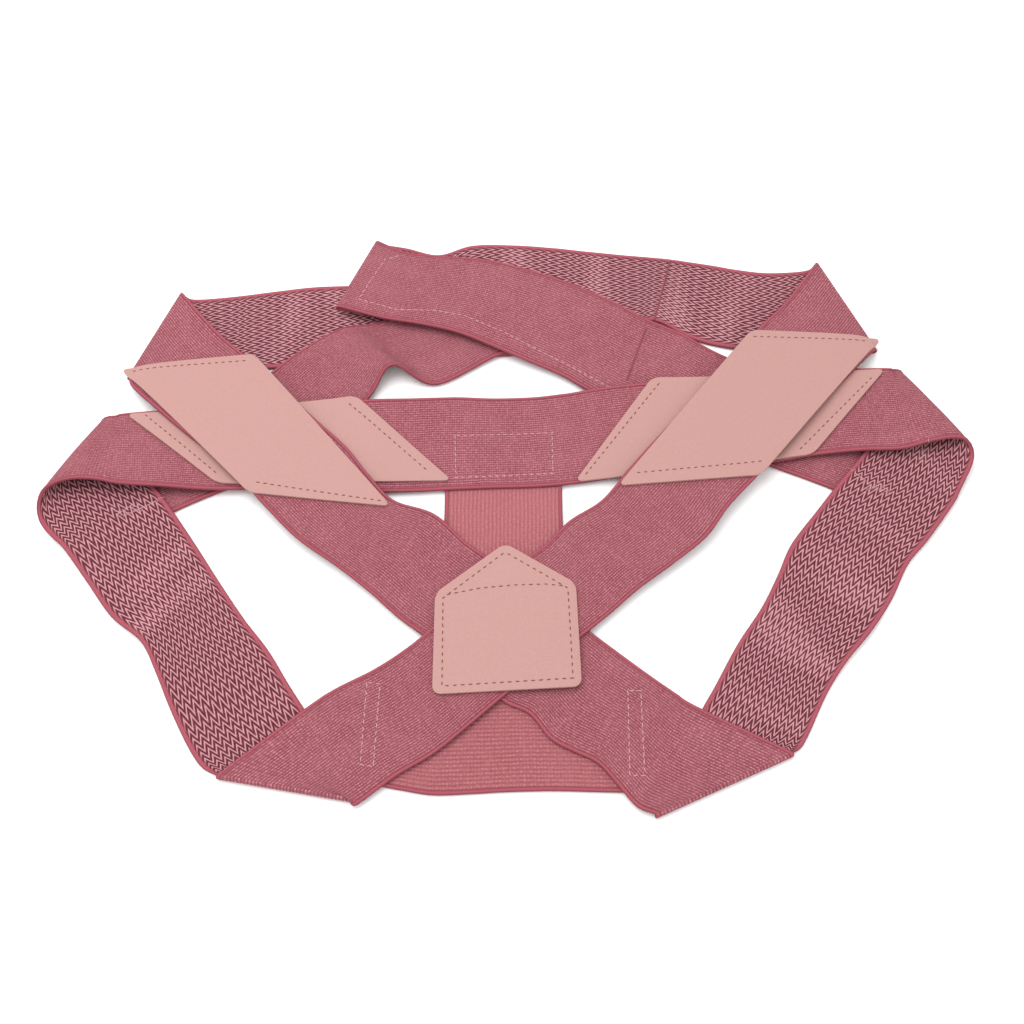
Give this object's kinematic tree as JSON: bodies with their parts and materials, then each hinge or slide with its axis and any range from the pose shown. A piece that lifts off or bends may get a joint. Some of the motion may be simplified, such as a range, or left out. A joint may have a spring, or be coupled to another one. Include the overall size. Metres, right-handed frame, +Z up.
{
  "type": "posture corrector",
  "caption": "Webbing harness laid flat, seen from its back: shoulder straps crossing between the shoulders, a spine strap, a belt with a tab and leatherette patches.",
  "frame": {"origin": "centre of the bounding box at the height of the surface it lies on", "axes": "+X across the harness to the right, +Y from the nape band towards the waist, +Z up out of its outer face"},
  "size_m": [0.6126, 0.4098, 0.0183],
  "materials": {
    "rose_webbing": "woven elastic webbing, matt, with a zigzag inner face",
    "coral_webbing": "coarse ribbed elastic webbing, matt",
    "leatherette": "smooth matt leatherette with stitched ends"
  },
  "bodies": {
    "root": {"shoulder_strap_right": "rose_webbing", "back_band": "rose_webbing", "shoulder_strap_left": "rose_webbing", "cross_strap_lower": "rose_webbing", "cross_strap_upper": "rose_webbing", "front_tab": "rose_webbing", "belt_strap_right": "rose_webbing", "spine_strap": "coral_webbing", "nape_band": "coral_webbing", "patch_upper_left": "leatherette", "patch_upper_right": "leatherette", "patch_lower_left": "leatherette", "patch_lower_right": "leatherette", "patch_centre": "leatherette"}
  },
  "joints": []
}
